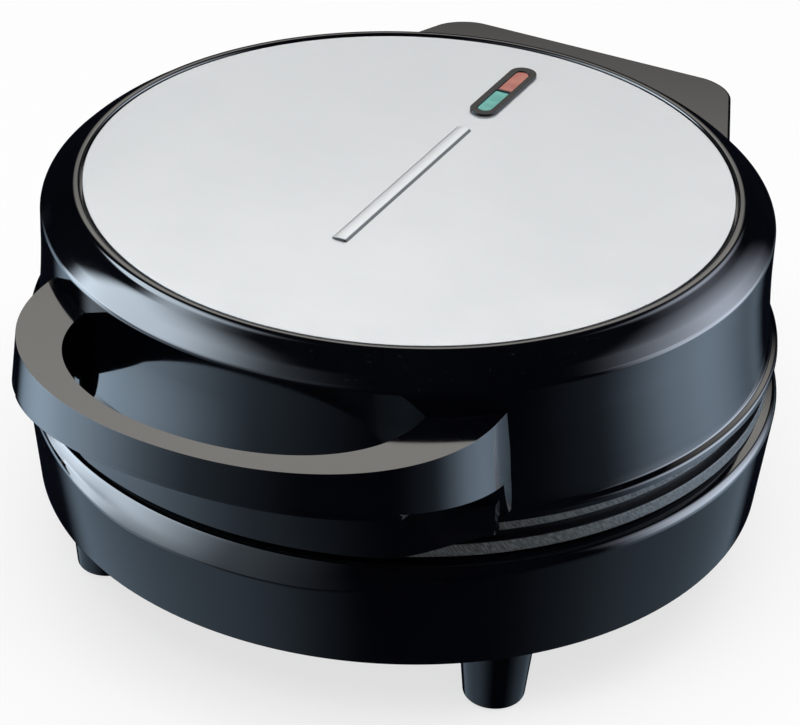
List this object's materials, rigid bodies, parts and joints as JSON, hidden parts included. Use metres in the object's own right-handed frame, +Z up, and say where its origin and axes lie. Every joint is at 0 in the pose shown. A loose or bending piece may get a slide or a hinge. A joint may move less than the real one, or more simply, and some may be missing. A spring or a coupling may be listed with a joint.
{
  "type": "doughnut maker",
  "caption": "Round countertop doughnut maker with hinged lid, bow handle, ring-shaped baking cavities, brushed steel top disc, indicator lamps and short legs.",
  "frame": {"origin": "on the table, under the centre of the closed machine's outline", "axes": "+Y from the handle towards the hinge, +X to the right seen from the handle, +Z up"},
  "size_m": [0.221, 0.2689, 0.1189],
  "materials": {
    "gloss_black": "glossy black moulding",
    "matte_black": "satin black moulding",
    "brushed_disc": "fine straight brushing",
    "plate_coating": "dark non-stick coating on cast plate",
    "sheet_metal": "plain rolled sheet",
    "heater_sheath": "dull drawn tube",
    "zinc": "zinc-plated",
    "rubber_black": "matte rubber",
    "ceramic_white": "unglazed ceramic",
    "red_lens": "clear red",
    "green_lens": "clear green",
    "lamp_glass": "small neon lamp"
  },
  "bodies": {
    "base": {"base_shell": "gloss_black", "base_bottom_cover": "matte_black", "foot_front_left": "gloss_black", "foot_front_right": "gloss_black", "foot_rear_left": "gloss_black", "foot_rear_right": "gloss_black", "foot_pad_front_left": "rubber_black", "foot_pad_front_right": "rubber_black", "foot_pad_rear_left": "rubber_black", "foot_pad_rear_right": "rubber_black", "lower_cooking_plate": "plate_coating", "lower_heating_element": "heater_sheath", "lower_heat_reflector": "sheet_metal", "lower_plate_screw_1": "zinc", "lower_plate_screw_2": "zinc", "lower_plate_screw_3": "zinc", "bottom_cover_screw_1": "zinc", "bottom_cover_screw_2": "zinc", "bottom_cover_screw_3": "zinc", "thermostat": "ceramic_white", "thermal_fuse": "ceramic_white", "terminal_block": "ceramic_white", "cord_gland": "rubber_black", "hinge_rod": "zinc"},
    "lid": {"lid_shell": "gloss_black", "lid_top_disc": "brushed_disc", "indicator_bezel": "matte_black", "power_lens": "red_lens", "ready_lens": "green_lens", "power_lamp": "lamp_glass", "ready_lamp": "lamp_glass", "lamp_holder": "matte_black", "handle": "gloss_black", "handle_underside_cover": "gloss_black", "handle_screw_left": "zinc", "handle_screw_right": "zinc", "upper_cooking_plate": "plate_coating", "upper_heating_element": "heater_sheath", "upper_heat_reflector": "sheet_metal", "upper_plate_screw_1": "zinc", "upper_plate_screw_2": "zinc", "upper_plate_screw_3": "zinc", "hinge_cap_left": "matte_black", "hinge_cap_right": "matte_black"}
  },
  "joints": [
    {"name": "lid_hinge", "type": "hinge", "parent": "base", "child": "lid", "pos_m": [0, 0.12, 0.06705], "axis": [-1, 0, 0], "range_deg": [0, 100]}
  ]
}
